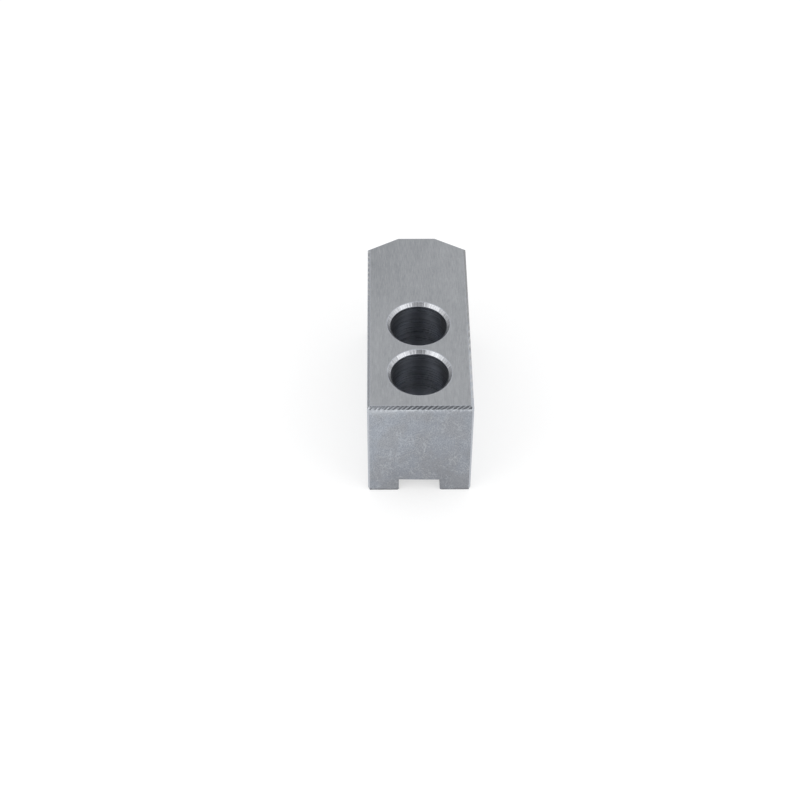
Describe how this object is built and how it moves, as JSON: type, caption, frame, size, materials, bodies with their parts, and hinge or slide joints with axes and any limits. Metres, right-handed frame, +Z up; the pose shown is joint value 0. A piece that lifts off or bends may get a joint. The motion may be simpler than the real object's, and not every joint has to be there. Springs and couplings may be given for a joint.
{
  "type": "machinable soft jaw",
  "caption": "Machinable steel soft jaw for a lathe chuck: a block with a pointed nose, deep counterbored screw holes in line, a key slot and a serrated base.",
  "frame": {"origin": "middle of the base, on the crests of the serrations", "axes": "+Y along the jaw towards its nose, +Z up from the serrated base to the top face, +X across the jaw"},
  "size_m": [0.03, 0.0724, 0.035],
  "materials": {
    "jaw_steel": "ground top, milled sides and ends, tool-marked chamfers, dark bores"
  },
  "bodies": {
    "root": {"soft_jaw": "jaw_steel"}
  },
  "joints": []
}
